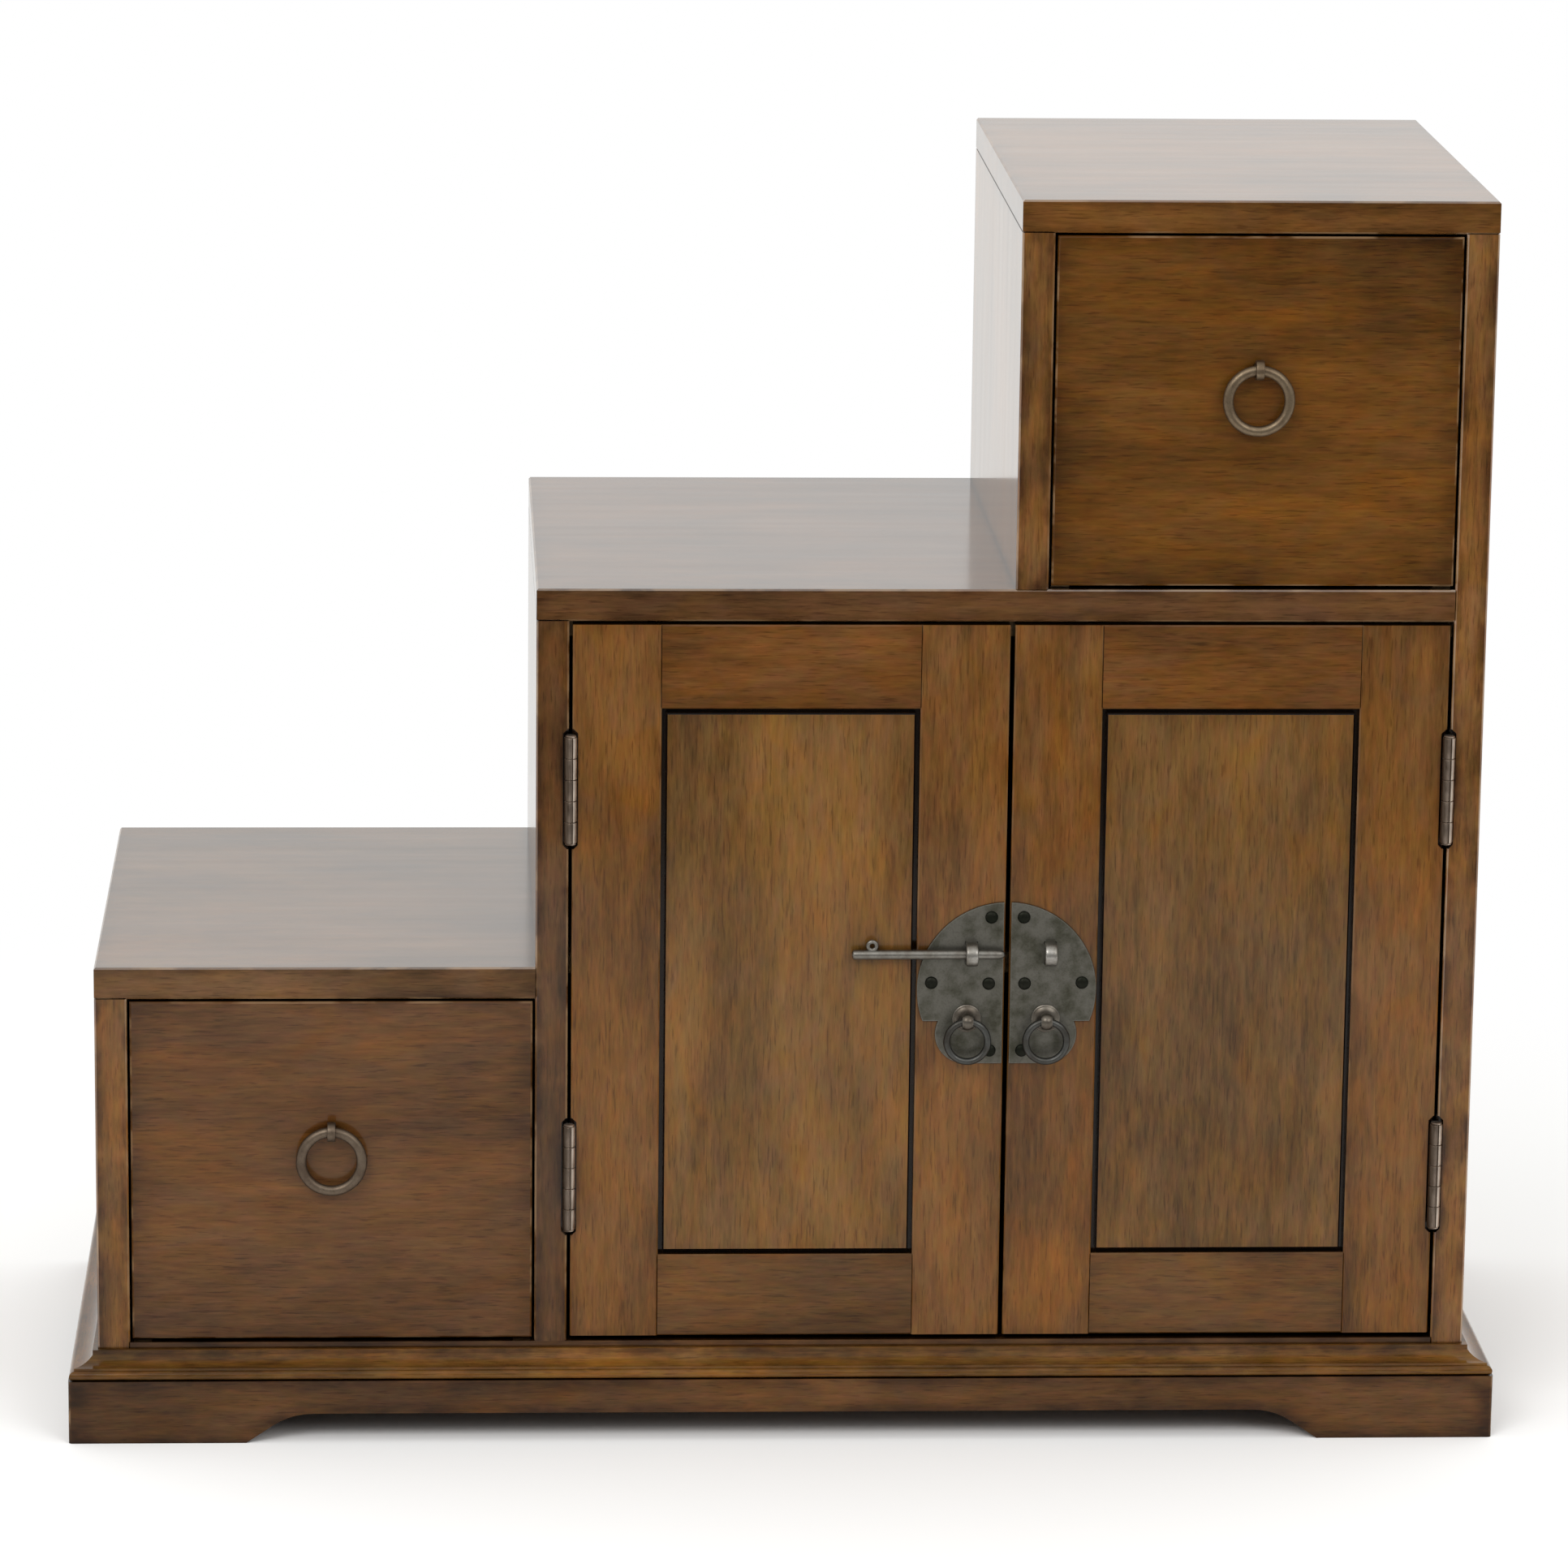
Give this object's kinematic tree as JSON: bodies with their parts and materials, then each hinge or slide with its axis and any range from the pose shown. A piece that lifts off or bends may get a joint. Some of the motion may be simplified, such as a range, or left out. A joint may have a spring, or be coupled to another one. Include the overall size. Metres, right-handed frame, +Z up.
{
  "type": "step chest tansu",
  "caption": "Stepped wooden storage chest on a low moulded plinth, with inset drawers on ring handles and a framed cupboard closed by a round plate lock with a sliding pin.",
  "frame": {"origin": "on the floor, at the middle of the whole chest's width and depth", "axes": "+X to the right as seen from the front, the front faces -Y, +Z up"},
  "size_m": [0.8, 0.35, 0.7],
  "materials": {
    "case_wood": "stained hardwood, satin clear lacquer",
    "drawer_front_wood": "stained hardwood, satin clear lacquer",
    "door_wood": "stained hardwood, satin clear lacquer",
    "inner_wood": "pale unstained wood, thin sealer",
    "plywood": "plywood, thin sealer",
    "dark_iron": "dark antiqued pewter finish",
    "antique_hinge": "antiqued brown metal",
    "screw_steel": "darkened steel"
  },
  "bodies": {
    "case": {"back_panel_high": "plywood", "back_panel_low": "plywood", "back_panel_mid": "plywood", "base_moulding": "case_wood", "bottom_board": "case_wood", "case_hinge_leaves": "antique_hinge", "case_hinge_screws": "screw_steel", "divider": "case_wood", "door_stop_strip": "inner_wood", "hinge_pins": "antique_hinge", "plinth_back": "inner_wood", "plinth_corner_blocks": "inner_wood", "plinth_front": "case_wood", "plinth_left": "case_wood", "plinth_right": "case_wood", "shelf": "inner_wood", "shelf_pegs": "inner_wood", "side_left": "case_wood", "side_right": "case_wood", "side_tall": "case_wood", "top_high": "case_wood", "top_low": "case_wood", "top_mid": "case_wood"},
    "low_drawer": {"low_drawer_back": "inner_wood", "low_drawer_bottom": "plywood", "low_drawer_front": "drawer_front_wood", "low_drawer_ring_staple": "dark_iron", "low_drawer_side_left": "inner_wood", "low_drawer_side_right": "inner_wood"},
    "high_drawer": {"high_drawer_back": "inner_wood", "high_drawer_bottom": "plywood", "high_drawer_front": "drawer_front_wood", "high_drawer_ring_staple": "dark_iron", "high_drawer_side_left": "inner_wood", "high_drawer_side_right": "inner_wood"},
    "left_door": {"left_door_bottom_rail": "door_wood", "left_door_hinge_leaves": "antique_hinge", "left_door_hinge_stile": "door_wood", "left_door_lock_eye": "dark_iron", "left_door_lock_plate": "dark_iron", "left_door_lock_stile": "door_wood", "left_door_panel": "door_wood", "left_door_pull_post": "dark_iron", "left_door_screws_and_nails": "screw_steel", "left_door_top_rail": "door_wood"},
    "right_door": {"right_door_bottom_rail": "door_wood", "right_door_hinge_leaves": "antique_hinge", "right_door_hinge_stile": "door_wood", "right_door_lock_eye": "dark_iron", "right_door_lock_plate": "dark_iron", "right_door_lock_stile": "door_wood", "right_door_panel": "door_wood", "right_door_pull_post": "dark_iron", "right_door_screws_and_nails": "screw_steel", "right_door_top_rail": "door_wood"},
    "low_ring": {"low_drawer_ring": "dark_iron"},
    "high_ring": {"high_drawer_ring": "dark_iron"},
    "left_ring": {"left_door_pull_ring": "dark_iron"},
    "right_ring": {"right_door_pull_ring": "dark_iron"},
    "lock_pin": {"lock_pin": "dark_iron"}
  },
  "joints": [
    {"name": "low_drawer_slide", "type": "slide", "parent": "case", "child": "low_drawer", "axis": [0, -1, 0], "range_m": [0, 0.24]},
    {"name": "high_drawer_slide", "type": "slide", "parent": "case", "child": "high_drawer", "axis": [0, -1, 0], "range_m": [0, 0.24]},
    {"name": "left_door_hinge", "type": "hinge", "parent": "case", "child": "left_door", "pos_m": [-0.121, -0.1605, 0.26], "axis": [0, 0, 1], "range_deg": [-165, 0]},
    {"name": "right_door_hinge", "type": "hinge", "parent": "case", "child": "right_door", "pos_m": [0.365, -0.1605, 0.26], "axis": [0, 0, 1], "range_deg": [0, 175]},
    {"name": "low_ring_swing", "type": "hinge", "parent": "low_drawer", "child": "low_ring", "pos_m": [-0.253, -0.166, 0.1781], "axis": [-1, 0, 0], "range_deg": [-6, 170]},
    {"name": "high_ring_swing", "type": "hinge", "parent": "high_drawer", "child": "high_ring", "pos_m": [0.2535, -0.166, 0.6081], "axis": [-1, 0, 0], "range_deg": [-6, 170]},
    {"name": "left_ring_swing", "type": "hinge", "parent": "left_door", "child": "left_ring", "pos_m": [0.1, -0.1678, 0.24125], "axis": [-1, 0, 0], "range_deg": [-8, 170]},
    {"name": "right_ring_swing", "type": "hinge", "parent": "right_door", "child": "right_ring", "pos_m": [0.144, -0.1678, 0.24125], "axis": [-1, 0, 0], "range_deg": [-8, 170]},
    {"name": "lock_pin_slide", "type": "slide", "parent": "left_door", "child": "lock_pin", "axis": [1, 0, 0], "range_m": [0, 0.0476]}
  ]
}
